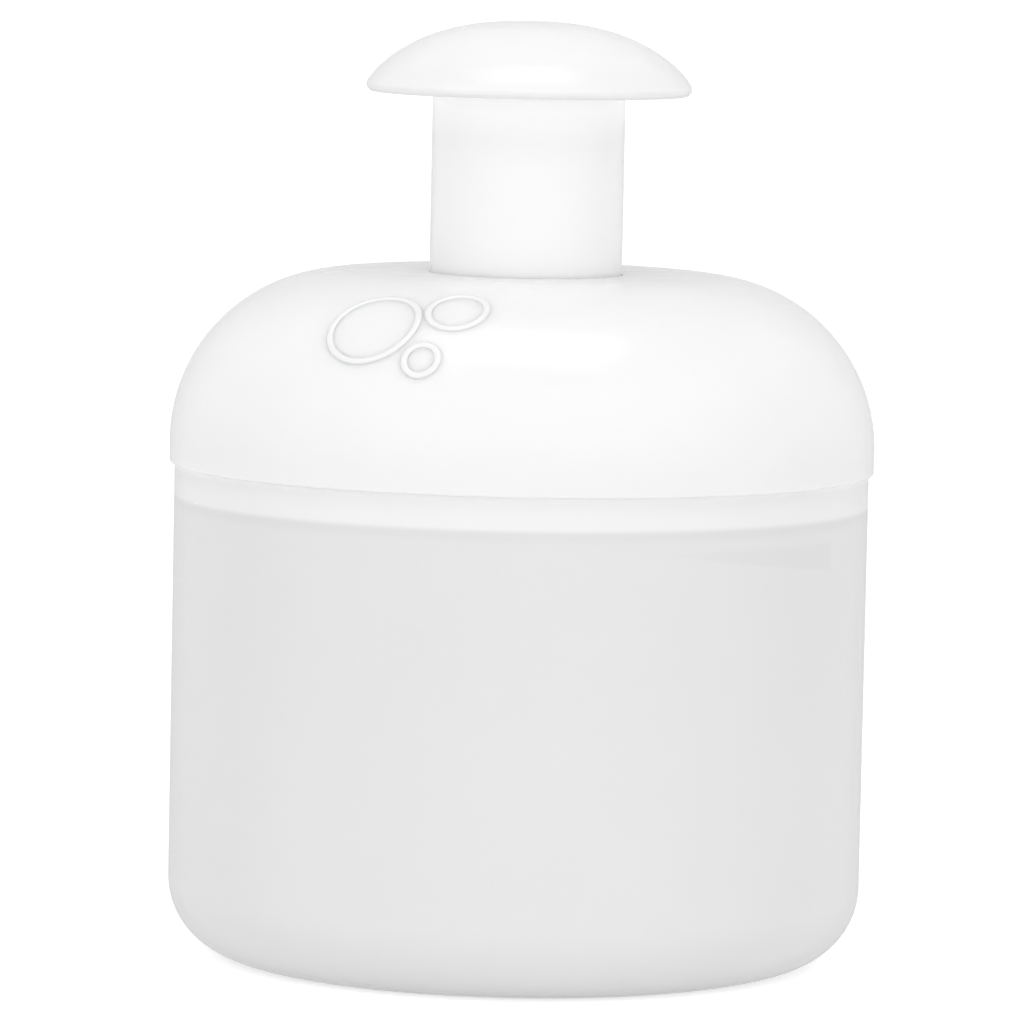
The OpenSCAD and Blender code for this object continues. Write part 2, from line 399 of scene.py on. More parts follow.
def moulded_finish(tree, shader, coords, roughness, relief):
    """Gloss of moulded plastic: uneven roughness, faint scuffs, slight waviness and orange peel."""
    patches = remap(tree, noise(tree, coords, PATCH_SCALE, detail=3.0),
                    roughness * (1 - PATCH_SPREAD), roughness * (1 + PATCH_SPREAD))
    scuffs = noise(tree, coords, SCUFF_SCALE, detail=6.0, stretch=SCUFF_STRETCH)
    scuffed = remap(tree, scuffs, 0.0, SCUFF_ROUGHNESS, *SCUFF_RANGE)
    tree.links.new(math_node(tree, "ADD", patches, scuffed), shader.inputs["Roughness"])
    waves = noise(tree, coords, WAVE_SCALE, detail=1.0)
    wavy = bump(tree, waves, relief * WAVE_RELIEF, WAVE_STRENGTH)
    peel = noise(tree, coords, PEEL_SCALE, detail=2.0)
    peeled = bump(tree, peel, relief * PEEL_RELIEF, PEEL_STRENGTH, wavy)
    tree.links.new(peeled, shader.inputs["Normal"])


def soften(shader, weight, depth):
    """Light scatters under the surface to about this depth."""
    shader.inputs["Subsurface Weight"].default_value = weight
    shader.inputs["Subsurface Radius"].default_value = SCATTER_RADIUS
    shader.inputs["Subsurface Scale"].default_value = depth


def add_painted_glow(tree, shader, shape, strength):
    """Painted glow on the plastic, which shows where shape is 1."""
    shader.inputs["Emission Color"].default_value = (1, 1, 1, 1)
    tree.links.new(math_node(tree, "MULTIPLY", shape, strength), shader.inputs["Emission Strength"])


def plastic(name, light, roughness=GLOSSY, relief=RELIEF, mottle=0.985, scatter=SCATTER, shaded_below=None):
    """Moulded plastic, faintly clouded, and painted darker below a height as painted shade."""
    material, tree, shader = new_material(name)
    coords = tree.nodes.new("ShaderNodeTexCoord")
    colour = clouded(tree, coords, CLOUD_SCALE, 3.0, shade(light, mottle), light)
    if shaded_below:
        # Painted shade: below the given height the colour is painted darker.
        unshaded = step(tree, axes(tree, coords.outputs["Object"])[2], shaded_below, PAINTED_SHADE_SOFT)
        colour = scaled(tree, colour, math_node(tree, "MULTIPLY_ADD", unshaded, PAINTED_SHADE, 1 - PAINTED_SHADE))
    tree.links.new(colour, shader.inputs["Base Color"])
    shader.inputs["IOR"].default_value = IOR
    soften(shader, scatter, SCATTER_DEPTH)
    moulded_finish(tree, shader, coords, roughness, relief)
    return material


# Painted glow on the rod just under the knob, which lifts the shade there.
ROD_PAINTED_GLOW = 0.24
ROD_PAINTED_GLOW_Z = rod_hi.z - 3.3 * MM
ROD_PAINTED_GLOW_SOFT = 3.6 * MM
ROD_SKIN = 0.4 * MM             # past the rod's surface, where its flange is taken to begin
ROD_SKIN_SOFT = 0.2 * MM


def rod_plastic(name, light):
    """White plastic of the rod, with a painted glow just under the knob that lifts the shade there."""
    material = plastic(name, light)
    tree = material.node_tree
    coords = tree.nodes.new("ShaderNodeTexCoord")
    x, y, z = axes(tree, coords.outputs["Object"])
    # Painted glow: high on the rod and off its flange.
    high = step(tree, z, ROD_PAINTED_GLOW_Z, ROD_PAINTED_GLOW_SOFT)
    flange = step(tree, distance(tree, x, y), ROD_R + ROD_SKIN, ROD_SKIN_SOFT)
    shape = math_node(tree, "MULTIPLY", high, inverted(tree, flange))
    add_painted_glow(tree, tree.nodes["Principled BSDF"], shape, ROD_PAINTED_GLOW)
    return material


SILICONE_IOR = 1.41
SILICONE_SCATTER = 0.6
SILICONE_DEPTH = 2.0 * MM
SILICONE_MOTTLE = 0.94
SILICONE_CLOUD_SCALE = 120.0
DUST_SCALE = 300.0
DUST_ROUGHNESS = (0.42, 0.6)
SKIN_SCALE = 1800.0
SKIN_RELIEF = 0.004 * MM
SKIN_STRENGTH = 0.4


def silicone(name, light):
    """Soft translucent silicone with a slightly dusty, matt skin."""
    material, tree, shader = new_material(name)
    coords = tree.nodes.new("ShaderNodeTexCoord")
    colour = clouded(tree, coords, SILICONE_CLOUD_SCALE, 4.0, shade(light, SILICONE_MOTTLE), light)
    tree.links.new(colour, shader.inputs["Base Color"])
    dust = remap(tree, noise(tree, coords, DUST_SCALE, detail=3.0), *DUST_ROUGHNESS)
    tree.links.new(dust, shader.inputs["Roughness"])
    skin = bump(tree, noise(tree, coords, SKIN_SCALE, detail=3.0), SKIN_RELIEF, SKIN_STRENGTH)
    tree.links.new(skin, shader.inputs["Normal"])
    shader.inputs["IOR"].default_value = SILICONE_IOR
    soften(shader, SILICONE_SCATTER, SILICONE_DEPTH)
    return material


CUP_CORNER = 8.3 * MM
CUP_GREY = 0.722
CUP_MOTTLE = 0.01
CUP_CLOUD_SCALE = 30.0
PAINT_DEPTH = 0.9 * MM          # what shows through the wall is painted this deep from the outside
PAINT_SOFT = 0.2 * MM

# The lid's white skirt, seen through the wall as a lighter band with a thin shadow under it.
BAND_Z = liner_lo.z + 0.35 * MM     # lower edge of the skirt, past its rounded corner
BAND_SOFT = 0.35 * MM
BAND_LIGHT = 0.125
LINE_WIDTH = 1.0 * MM
LINE_SOFT = 0.5 * MM
LINE_DARKNESS = 0.035

# The wedge on the inner wall, seen as a slightly darker patch.
WEDGE_END = math.radians(-29)
WEDGE_SPAN = math.radians(34)
WEDGE_Z = cup_hi.z - 8.7 * MM
WEDGE_HEIGHT = 3.0 * MM
WEDGE_RISE = -2.4 * MM          # of its underside, from the thin end to the blunt end
WEDGE_LOW_SOFT = 0.25 * MM
WEDGE_HIGH_SOFT = 0.3 * MM
WEDGE_THIN_SOFT = 0.15          # in radians, as is the next
WEDGE_BLUNT_SOFT = 0.012
PATCH_DARKNESS = 0.03

# Painted light: the rim and the foot are painted lighter than the wall, against the shade under the lid's
# edge and near the floor.
RIM_Z = cup_hi.z - 0.15 * MM
RIM_SOFT = 0.9 * MM
RIM_PAINTED_LIGHT = 0.2
FOOT_Z = 2.0 * MM
FOOT_SOFT = 4.0 * MM
FOOT_PAINTED_LIGHT = 0.1

# Painted glow in the wall: at the rim's outer skin against the shade at the seam, and half as strong on the
# inside of the cup, where it stands for light through the wall.
GLOW_Z = cup_hi.z - 0.1 * MM
GLOW_SOFT = 0.6 * MM
GLOW_DEPTH = 0.45 * MM
RIM_PAINTED_GLOW = 0.3
INNER_PAINTED_GLOW = 0.5
INNER_DEPTH = 1.6 * MM          # from the outside, where the inside is taken to begin
INNER_SOFT = 0.15 * MM


def wedge_patch(tree, x, y, z):
    """1 where the wedge on the cup's inner wall shows through, falling off along the wedge."""
    around = math_node(tree, "ARCTAN2", y, x)
    along = math_node(tree, "DIVIDE", math_node(tree, "SUBTRACT", around, WEDGE_END), WEDGE_SPAN)
    underside = math_node(tree, "MULTIPLY_ADD", along, WEDGE_RISE, WEDGE_Z)
    low = step(tree, z, underside, WEDGE_LOW_SOFT)
    high = inverted(tree, step(tree, z, WEDGE_Z + WEDGE_HEIGHT, WEDGE_HIGH_SOFT))
    thin_end = step(tree, around, WEDGE_END - WEDGE_SPAN, WEDGE_THIN_SOFT)
    blunt_end = inverted(tree, step(tree, around, WEDGE_END, WEDGE_BLUNT_SOFT))
    height = math_node(tree, "MULTIPLY", low, high)
    return math_node(tree, "MULTIPLY", height, math_node(tree, "MULTIPLY", thin_end, blunt_end))


def cup_hollow(tree, reach, z):
    """1 on the cup's inner surfaces and 0 on its outer ones."""
    past_corner = (math_node(tree, "SUBTRACT", reach, cup_hi.x - CUP_CORNER),
                   math_node(tree, "SUBTRACT", CUP_CORNER, z))
    sides = [math_node(tree, "MAXIMUM", side, 0.0) for side in past_corner]
    return inverted(tree, step(tree, distance(tree, *sides), CUP_CORNER - INNER_DEPTH, INNER_SOFT))


def milky_plastic(name):
    """Translucent polypropylene of the cup, with what shows faintly through its wall, painted light at the
    rim and foot, and a painted glow.
    """
    material, tree, shader = new_material(name)
    coords = tree.nodes.new("ShaderNodeTexCoord")
    x, y, z = axes(tree, coords.outputs["Object"])
    reach = distance(tree, x, y)
    dark, light = grey(CUP_GREY * (1 - CUP_MOTTLE)), grey(CUP_GREY * (1 + CUP_MOTTLE))
    colour = clouded(tree, coords, CUP_CLOUD_SCALE, 3.0, dark, light)

    band = step(tree, z, BAND_Z, BAND_SOFT)
    line = math_node(tree, "SUBTRACT", step(tree, z, BAND_Z - LINE_WIDTH, LINE_SOFT), band)
    # Painted light: the rim is painted lighter against the shade under the lid's edge.
    rim = step(tree, z, RIM_Z, RIM_SOFT)
    patch = wedge_patch(tree, x, y, z)
    painted = math_node(tree, "MULTIPLY", band, BAND_LIGHT)
    for shape, amount in ((line, -LINE_DARKNESS), (patch, -PATCH_DARKNESS), (rim, RIM_PAINTED_LIGHT)):
        painted = math_node(tree, "MULTIPLY_ADD", shape, amount, painted)
    outside = step(tree, reach, cup_hi.x - PAINT_DEPTH, PAINT_SOFT)
    painted = math_node(tree, "MULTIPLY", painted, outside)
    # Painted light: the foot is painted lighter against the shade near the floor.
    foot = inverted(tree, step(tree, z, FOOT_Z, FOOT_SOFT))
    shades = math_node(tree, "MULTIPLY_ADD", foot, FOOT_PAINTED_LIGHT, painted)
    tree.links.new(scaled(tree, colour, math_node(tree, "ADD", shades, 1.0)), shader.inputs["Base Color"])

    # Painted glow: at the rim's outer skin and, half as strong, on the cup's inner surfaces.
    skin = step(tree, reach, cup_hi.x - GLOW_DEPTH, PAINT_SOFT)
    glow = math_node(tree, "MULTIPLY", step(tree, z, GLOW_Z, GLOW_SOFT), skin)
    glow = math_node(tree, "MULTIPLY_ADD", cup_hollow(tree, reach, z), INNER_PAINTED_GLOW, glow)
    add_painted_glow(tree, shader, glow, RIM_PAINTED_GLOW)
    shader.inputs["IOR"].default_value = IOR
    soften(shader, SCATTER, SCATTER_DEPTH)
    moulded_finish(tree, shader, coords, SATIN, RELIEF)
    return material


# Below this height the knob's rim is painted darker, as painted shade.
KNOB_SHADED_Z = knob_hi.z - 5.5 * MM

# The emblem's lines are thinner than the depth of the scattering, so their plastic does without it.
white = plastic("white_shell", grey(0.88))
# Painted light: the rod's white is a lighter copy of the shell's, which lifts the shade under the knob.
white_rod = rod_plastic("white_rod", grey(0.91))
white_knob = plastic("white_knob", grey(0.895), shaded_below=KNOB_SHADED_Z)
white_raised = plastic("white_raised", grey(0.82), scatter=0.0)
milky = milky_plastic("milky_shell")
natural = plastic("whisk_plastic", (0.83, 0.83, 0.81), roughness=0.33, relief=0.016 * MM, mottle=0.97)
strand_white = plastic("net_strand", (0.84, 0.84, 0.83), roughness=0.4, relief=0.004 * MM, mottle=0.96)
seal = silicone("soft_seal", (0.78, 0.78, 0.76))


# ---------------------------------------------------------------- cup
CUP_WALL = 1.8 * MM
CUP_FLOOR = 2.0 * MM
FOOT_RISE = 1.2 * MM
FOOT_R = 24.0 * MM
GATE_R = 1.6 * MM               # moulding gate in the middle of the base
GATE_DEPTH = 0.25 * MM
GATE_EDGE = 0.1 * MM
FOOT_CORNER = 0.6 * MM          # where the raised base meets the foot ring
FOOT_EDGE = 0.5 * MM
RIM_OUTER_EDGE = 0.08 * MM
RIM_INNER_EDGE = 0.4 * MM
WEDGE_STEPS = 40
WEDGE_TOP = WEDGE_Z + 3.3 * MM
WEDGE_LEAST_H = 0.3 * MM
WEDGE_DEPTH = 0.9 * MM
WEDGE_ROOT = 0.1 * MM           # how far the wedge reaches into the cup's wall
WEDGE_ROUND = 0.25 * MM
BLUNT_START, BLUNT_SLOPE = 0.25, 3.0    # share of the depth at the blunt end, and its growth
THIN_START, THIN_SLOPE = 0.1, 4.0       # the same from the thin end


def build_cup():
    """Round cup with a base that is pushed up inside its foot ring."""
    radius = cup_hi.x
    inner = radius - CUP_WALL
    floor_z = FOOT_RISE + CUP_FLOOR
    gate_z = FOOT_RISE + GATE_DEPTH
    bm = bmesh.new()
    lathe(bm, rounded([
        (0, gate_z, 0), (GATE_R, gate_z, GATE_EDGE), (GATE_R + GATE_DEPTH, FOOT_RISE, GATE_EDGE),
        (FOOT_R - FOOT_RISE, FOOT_RISE, FOOT_CORNER), (FOOT_R, 0, FOOT_EDGE), (radius, 0, CUP_CORNER),
        (radius, cup_hi.z, RIM_OUTER_EDGE), (inner, cup_hi.z, RIM_INNER_EDGE),
        (inner, floor_z, CUP_CORNER - CUP_FLOOR), (0, floor_z, 0),
    ], steps=24))
    new_object("cup_shell", bm, "cup", ["cup"], milky)


def build_wedge():
    """Low wedge on the cup's inner wall, with a sloped underside and a blunt end."""
    inner = cup_hi.x - CUP_WALL
    root = inner + WEDGE_ROOT
    top = WEDGE_TOP
    bm = bmesh.new()
    sections = []
    for i in range(WEDGE_STEPS + 1):
        share = i / WEDGE_STEPS
        angle = WEDGE_END - WEDGE_SPAN * share
        low = min(WEDGE_Z - WEDGE_RISE * share, top - WEDGE_LEAST_H)
        from_blunt = BLUNT_START + BLUNT_SLOPE * share
        from_thin = THIN_START + THIN_SLOPE * (1 - share)
        depth = WEDGE_DEPTH * min(1.0, from_blunt, from_thin)
        crest = inner - depth
        edge = min(WEDGE_ROUND, depth / 2)
        profile = ((root, low), (crest + edge, low), (crest, low + edge),
                   (crest, top - edge), (crest + edge, top), (root, top))
        sections.append([bm.verts.new(polar(r, angle, z)) for r, z in profile])
    for one, two in zip(sections, sections[1:]):
        bridge(bm, one, two)
    bm.faces.new(sections[0])
    bm.faces.new(sections[-1])
    new_object("cup_wedge", bm, "cup", material=milky)


build_cup()
build_wedge()


# ---------------------------------------------------------------- lid
DOME_WALL = 1.2 * MM
DOME_ARC = 18.3 * MM
DOME_EDGE = 0.3 * MM            # outer edge over the seam
DOME_INNER_EDGE = 0.1 * MM
DOME_PLAY = 0.06 * MM           # between the rod and the hole in the dome
HOLE_EDGE = 0.15 * MM
HAIR = 0.01 * MM                # by which the dome stays below its box's top and clear of the cup's rim
ROD_PLAY = 0.2 * MM             # between the rod and its guide
FIT = 0.03 * MM                 # between parts that are pushed together
SEAL_PLAY = 0.05 * MM           # round a soft ring


def build_dome():
    """Domed shell of the lid, with the hole for the rod."""
    radius = dome_hi.x
    inner = radius - DOME_WALL
    hole = ROD_R + DOME_PLAY
    top = dome_hi.z - HAIR
    edge_z = cup_hi.z + HAIR
    bm = bmesh.new()
    lathe(bm, rounded([
        (radius, edge_z, DOME_EDGE), (radius, top, DOME_ARC), (hole, top, HOLE_EDGE),
        (hole, top - DOME_WALL, DOME_INNER_EDGE), (inner, top - DOME_WALL, DOME_ARC - DOME_WALL),
        (inner, edge_z, DOME_INNER_EDGE),
    ], steps=40))
    return new_object("dome_shell", bm, "lid", ["lid_dome"], white)


EMBLEM_AZIMUTH = math.radians(-114)
EMBLEM_ELEVATION = math.radians(54)
EMBLEM_LINE = 0.7 * MM
EMBLEM_RISE = 0.2 * MM
EMBLEM_SINK = 0.02 * MM
EMBLEM_STEPS = 96
EMBLEM_SIDES = 8                # facets across a line's half-round top
BUBBLES = ((-3.4, -0.8, 4.8), (4.8, 2.4, 3.0), (3.4, -5.0, 1.8))    # across, up and radius, in mm


def build_emblem(dome):
    """Raised bubble rings, laid on the dome's shoulder."""
    surface = BVHTree.FromPolygons(
        [v.co.copy() for v in dome.data.vertices], [tuple(p.vertices) for p in dome.data.polygons])
    sideways = polar(1.0, EMBLEM_AZIMUTH)
    outward = sideways * math.cos(EMBLEM_ELEVATION) + Vector((0, 0, math.sin(EMBLEM_ELEVATION)))
    across = Vector((0, 0, 1)).cross(outward).normalized()
    up = outward.cross(across)
    middle = sideways * (dome_hi.x - DOME_ARC) + Vector((0, 0, dome_hi.z - DOME_ARC))
    far = middle + outward * 2 * DOME_ARC
    bm = bmesh.new()
    for x, y, radius in BUBBLES:
        ribs = []
        for i in range(EMBLEM_STEPS):
            a = 2 * math.pi * i / EMBLEM_STEPS
            spread = (across * (x + radius * math.cos(a)) + up * (y + radius * math.sin(a))) * MM
            hit, normal, _, _ = surface.ray_cast(far + spread, -outward)
            along = (up * math.cos(a) - across * math.sin(a)).normalized()
            side = along.cross(normal).normalized()
            ribs.append([
                bm.verts.new(hit + side * EMBLEM_LINE / 2 * math.cos(t)
                             + normal * (EMBLEM_RISE * math.sin(t) - EMBLEM_SINK))
                for t in (math.pi * k / EMBLEM_SIDES for k in range(EMBLEM_SIDES + 1))
            ])
        for one, two in zip(ribs, ribs[1:] + ribs[:1]):
            bridge(bm, one, two)
    new_object("emblem_bubbles", bm, "lid", material=white_raised)


SHELF_T = 1.6 * MM
SKIRT_PLAY = 0.3 * MM
SKIRT_R = cup_hi.x - CUP_WALL - SKIRT_PLAY
SKIRT_WALL = 2.2 * MM
GROOVE_DEPTH = 1.0 * MM
POCKET_DEPTH = 2.05 * MM
BOSS_WALL = 1.63 * MM
GUIDE_WALL = 2.0 * MM
SNAP_RISE = 0.15 * MM           # snap bead round the shelf's edge, between two heights above its underside
SNAP_LOW = 0.6 * MM
SNAP_HIGH = 1.2 * MM
GASKET_LIP = 0.5 * MM
WIPER_WEB = 0.75 * MM
WIPER_LIP = 0.6 * MM
RETAINER_PLAY = 0.5 * MM


def build_liner():
    """Inner wall of the lid: the skirt with its groove, the shelf, and the guide with its wiper pocket."""
    shelf_z = dome_lo.z
    shelf_top = shelf_z + SHELF_T
    shelf_r = liner_hi.x - SNAP_RISE
    snap_low, snap_high = shelf_z + SNAP_LOW, shelf_z + SNAP_HIGH
    skirt_bore = SKIRT_R - SKIRT_WALL
    groove_r = SKIRT_R - GROOVE_DEPTH
    groove_low = gasket_lo.z - SEAL_PLAY
    groove_high = gasket_hi.z + SEAL_PLAY
    guide_bore = ROD_R + ROD_PLAY
    guide_r = guide_bore + GUIDE_WALL
    pocket_r = ROD_R + POCKET_DEPTH
    pocket_low = retainer_hi.z + FIT
    pocket_high = wiper_hi.z + SEAL_PLAY
    boss_r = retainer_hi.x + BOSS_WALL
    boss_top = pocket_high + DOME_WALL
    seat_r = retainer_hi.x + FIT
    fine, medium = 0.12 * MM, 0.3 * MM
    bm = bmesh.new()
    lathe(bm, rounded([
        (skirt_bore, liner_lo.z, medium), (SKIRT_R, liner_lo.z, medium),
        (SKIRT_R, groove_low, fine), (groove_r, groove_low, fine),
        (groove_r, groove_high, fine), (SKIRT_R, groove_high, fine),
        (SKIRT_R, shelf_z, fine), (shelf_r, shelf_z, fine),
        (shelf_r, snap_low, 0), (liner_hi.x, snap_low + SNAP_RISE, 0),
        (liner_hi.x, snap_high - SNAP_RISE, 0), (shelf_r, snap_high, 0),
        (shelf_r, shelf_top, fine), (boss_r, shelf_top, medium), (boss_r, boss_top, fine),
        (guide_r, boss_top, medium), (guide_r, liner_hi.z, medium),
        (guide_bore, liner_hi.z, medium), (guide_bore, pocket_high, fine), (pocket_r, pocket_high, fine),
        (pocket_r, pocket_low, fine), (seat_r, pocket_low, fine), (seat_r, shelf_z, fine),
        (skirt_bore, shelf_z, 2 * medium),
    ], steps=5))
    new_object("liner_shell", bm, "lid", ["lid_liner"], white)


def lipped_ring(name, body, node, base_r, web_r, lip_r, lip_h):
    """Soft ring with a lip at each end. The lips point the way that web_r lies from base_r."""
    low, high = (corner.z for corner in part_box(node))
    fine, tip = 0.1 * MM, 0.16 * MM
    bm = bmesh.new()
    lathe(bm, rounded([
        (base_r, low, fine), (lip_r, low, tip), (lip_r, low + lip_h, tip), (web_r, low + lip_h, fine),
        (web_r, high - lip_h, fine), (lip_r, high - lip_h, tip), (lip_r, high, tip), (base_r, high, fine),
    ], steps=6))
    new_object(name, bm, body, [node], seal)


def build_retainer():
    """Ring that keeps the wiper in its pocket."""
    edge = 0.25 * MM
    bore = ROD_R + RETAINER_PLAY
    bm = bmesh.new()
    lathe(bm, rounded([
        (bore, retainer_lo.z, edge), (retainer_hi.x, retainer_lo.z, edge),
        (retainer_hi.x, retainer_hi.z, edge), (bore, retainer_hi.z, edge),
    ], steps=6))
    new_object("retainer_ring", bm, "lid", ["wiper_retainer"], white)


build_emblem(build_dome())
build_liner()
build_retainer()
lipped_ring("gasket_ring", "gasket", "lid_gasket", SKIRT_R - GROOVE_DEPTH + SEAL_PLAY,
            gasket_hi.x - GASKET_LIP, gasket_hi.x, GASKET_LIP)
lipped_ring("wiper_ring", "wiper", "rod_wiper", wiper_hi.x, ROD_R + WIPER_WEB, ROD_R + SEAL_PLAY, WIPER_LIP)


# ---------------------------------------------------------------- plunger
ROD_WALL = 1.6 * MM
FLANGE_T = 1.3 * MM
KNOB_H = 7.7 * MM
KNOB_RIM_H = 0.85 * MM
KNOB_RIM_ROUND = 0.78 * MM
KNOB_WALL = 1.5 * MM
KNOB_STEPS = 48
KNOB_RIM_STEPS = 10
CROWN_POWER = 2.45              # powers of the crown's superellipse, across and up
CROWN_RISE_POWER = 1.31
PLUG_LEAD = 0.4 * MM            # lead-in at the plug's foot


def build_rod():
    """Hollow rod with the flange that closes the knob from below."""
    flange_z = rod_hi.z - FLANGE_T
    bore = ROD_R - ROD_WALL
    floor_z = rod_lo.z + ROD_WALL
    edge = 0.2 * MM
    bm = bmesh.new()
    lathe(bm, rounded([
        (STEM_R, rod_lo.z, edge), (ROD_R, rod_lo.z, 2 * edge), (ROD_R, flange_z, 2 * edge),
        (rod_hi.x, flange_z, edge), (rod_hi.x, rod_hi.z, edge), (bore, rod_hi.z, edge),
        (bore, floor_z, edge), (STEM_R, floor_z, edge),
    ], steps=8))
    new_object("rod_tube", bm, "plunger", ["rod"], white_rod)


def crown(radius, z0, height, t):
    """Point of a crown's superellipse, from the axis at t = 0 to the rim at t = 1."""
    a = math.pi / 2 * t
    if t <= 0:
        return Vector((0, z0 + height))
    across = math.sin(a) ** (2 / CROWN_POWER)
    up = math.cos(a) ** (2 / CROWN_RISE_POWER)
    return Vector((radius * across, z0 + height * up))


def build_knob():
    """Hollow mushroom cap with the plug that goes into the rod."""
    radius, top = knob_hi.x, knob_hi.z
    base = top - KNOB_H
    rim_z = base + KNOB_RIM_H
    seat = rod_hi.x + FIT
    seat_top = base + FLANGE_T + FIT
    plug = ROD_R - ROD_WALL - FIT
    plug_bore = plug - KNOB_WALL
    ceiling = top - KNOB_WALL
    outside = [crown(radius, rim_z, top - rim_z, 1 - i / KNOB_STEPS) for i in range(KNOB_STEPS + 1)]
    inside = [crown(seat, seat_top, ceiling - seat_top, i / KNOB_STEPS) for i in range(KNOB_STEPS + 1)]
    arc = [math.pi / 2 * (k / KNOB_RIM_STEPS - 1) for k in range(KNOB_RIM_STEPS + 1)]
    lip = [Vector((radius - KNOB_RIM_ROUND * (1 - math.cos(a)), base + KNOB_RIM_ROUND * (1 + math.sin(a))))
           for a in arc]
    lead = PLUG_LEAD
    hollow = [p for p in inside if p.x < plug_bore - lead / 2]
    beyond = [p for p in inside if p.x > plug + lead / 2]
    tube = [
        Vector((plug_bore, hollow[-1].y - lead)), Vector((plug_bore, knob_lo.z + lead / 2)),
        Vector((plug_bore + lead / 2, knob_lo.z)), Vector((plug - lead, knob_lo.z)),
        Vector((plug, knob_lo.z + lead)), Vector((plug, beyond[0].y - lead)),
    ]
    bm = bmesh.new()
    lathe(bm, [Vector((seat, base))] + lip + outside + hollow + tube + beyond)
    new_object("knob_mushroom", bm, "plunger", ["knob_cap"], white_knob)


build_rod()
build_knob()


# ---------------------------------------------------------------- whisk
PLATE_T = 1.6 * MM
HOLE_CHAMFER = 0.15 * MM
UPPER_HOLES = ((14.9 * MM, 20), (18.6 * MM, 25), (22.3 * MM, 30), (25.9 * MM, 35))
UPPER_HOLE_D = 2.4 * MM
LOWER_HOLES = ((10.5 * MM, 12), (15.5 * MM, 18), (20.5 * MM, 24), (25.5 * MM, 30))
LOWER_HOLE_D = 3.2 * MM
CLAMP_R = STEM_R + 2.2 * MM
LEDGE_R = net_hi.x - 1.2 * MM   # inner edge of the ledge that the net's rim lies on
BRIM_T = 1.0 * MM
WHISK_EDGE = 0.3 * MM
WHISK_PLAY = 0.1 * MM           # round the lock cap's head and stem
LOWER_EDGE = 0.7 * MM
LOWER_RIM = 1.2 * MM            # width of the lower plate's rim, which holds its rounded edge
SEAT_DEPTH = 0.6 * MM           # seat of the lock cap's head in the lower plate


def build_upper_plate():
    """Perforated disc with a downward brim, and two rings that hold the net down."""
    top = upper_hi.z
    under = top - PLATE_T
    clamp_z = net_hi.z + FIT
    clamp_r = net_hi.x - FIT
    radius = upper_hi.x
    brim_r = radius - BRIM_T
    edge = WHISK_EDGE
    bm = bmesh.new()
    rim, ledge = sweep(bm, rounded([
        (radius - 2 * edge, top, 0), (radius, top, edge), (radius, upper_lo.z, edge),
        (brim_r, upper_lo.z, edge), (brim_r, under, edge), (clamp_r, under, edge / 2),
        (clamp_r, clamp_z, edge / 2), (LEDGE_R, clamp_z, edge / 2), (LEDGE_R, under, 0),
    ], steps=5, closed=False))
    clamp, bore = sweep(bm, rounded([
        (CLAMP_R, under, 0), (CLAMP_R, clamp_z, edge / 2), (STEM_R, clamp_z, edge / 2), (STEM_R, top, 0),
    ], steps=5, closed=False))
    holes = hole_loops(UPPER_HOLES, UPPER_HOLE_D)
    walls = [hole_wall(bm, loop, under, top, HOLE_CHAMFER) for loop in holes]
    fill_flat(bm, [rim, bore] + [high for _, high in walls], up=True)
    fill_flat(bm, [ledge, clamp] + [low for low, _ in walls], up=False)
    new_object("upper_plate_disc", bm, "plunger", ["whisk_upper_plate"], natural)


def build_lower_plate():
    """Perforated disc with a seat for the lock cap's head."""
    low, high = lower_lo.z, lower_hi.z
    radius = lower_hi.x
    seat_r = lock_hi.x + WHISK_PLAY
    seat_z = low + SEAT_DEPTH
    edge = WHISK_EDGE
    bm = bmesh.new()
    top_rim, low_rim = sweep(bm, rounded([
        (radius - 2 * edge, high, 0), (radius, high, edge),
        (radius, low, LOWER_EDGE), (radius - LOWER_RIM, low, 0),
    ], steps=8, closed=False))
    seat, bore = sweep(bm, rounded([
        (seat_r, low, 0), (seat_r, seat_z, edge / 2), (STEM_R, seat_z, edge / 2), (STEM_R, high, 0),
    ], steps=5, closed=False))
    holes = hole_loops(LOWER_HOLES, LOWER_HOLE_D)
    walls = [hole_wall(bm, loop, low, high, HOLE_CHAMFER) for loop in holes]
    fill_flat(bm, [top_rim, bore] + [rim for _, rim in walls], up=True)
    fill_flat(bm, [low_rim, seat] + [rim for rim, _ in walls], up=False)
    new_object("lower_plate_disc", bm, "plunger", ["whisk_lower_plate"], natural)


def build_hub():
    """Socket that the rod's foot stands in."""
    floor_top = rod_lo.z - FIT
    bore = ROD_R + FIT
    edge = WHISK_EDGE
    bm = bmesh.new()
    lathe(bm, rounded([
        (STEM_R, hub_lo.z, edge / 2), (hub_hi.x, hub_lo.z, edge / 2), (hub_hi.x, hub_hi.z, edge),
        (bore, hub_hi.z, edge), (bore, floor_top, edge / 2), (STEM_R, floor_top, edge / 2),
    ], steps=6))
    new_object("hub_socket", bm, "plunger", ["whisk_hub"], natural)


SPOKES = 4
SPOKE_W = 1.2 * MM
FRAME_W = 1.4 * MM
WINDOW_CORNER = 0.6 * MM
WINDOW_STEPS = 24


def frame_windows():
    """Loops of the openings between the net frame's spokes, with rounded corners."""
    loops = []
    corner = WINDOW_CORNER
    for k in range(SPOKES):
        start = 2 * math.pi * (k + 0.5) / SPOKES
        end = start + 2 * math.pi / SPOKES
        points = []
        for radius, other, first, last in ((LEDGE_R, CLAMP_R, start, end), (CLAMP_R, LEDGE_R, end, start)):
            inset = 1 if last > first else -1
            half = math.asin((SPOKE_W / 2 + corner) / radius)
            a0, a1 = first + inset * half, last - inset * half
            points += [polar(radius, a0 + (a1 - a0) * i / WINDOW_STEPS).xy for i in range(WINDOW_STEPS + 1)]
            for turned in (radius - inset * corner, other + inset * corner):
                flat = math.asin((SPOKE_W / 2) / turned)
                points.append(polar(turned, last - inset * flat).xy)
        loops.append(points)
    return loops


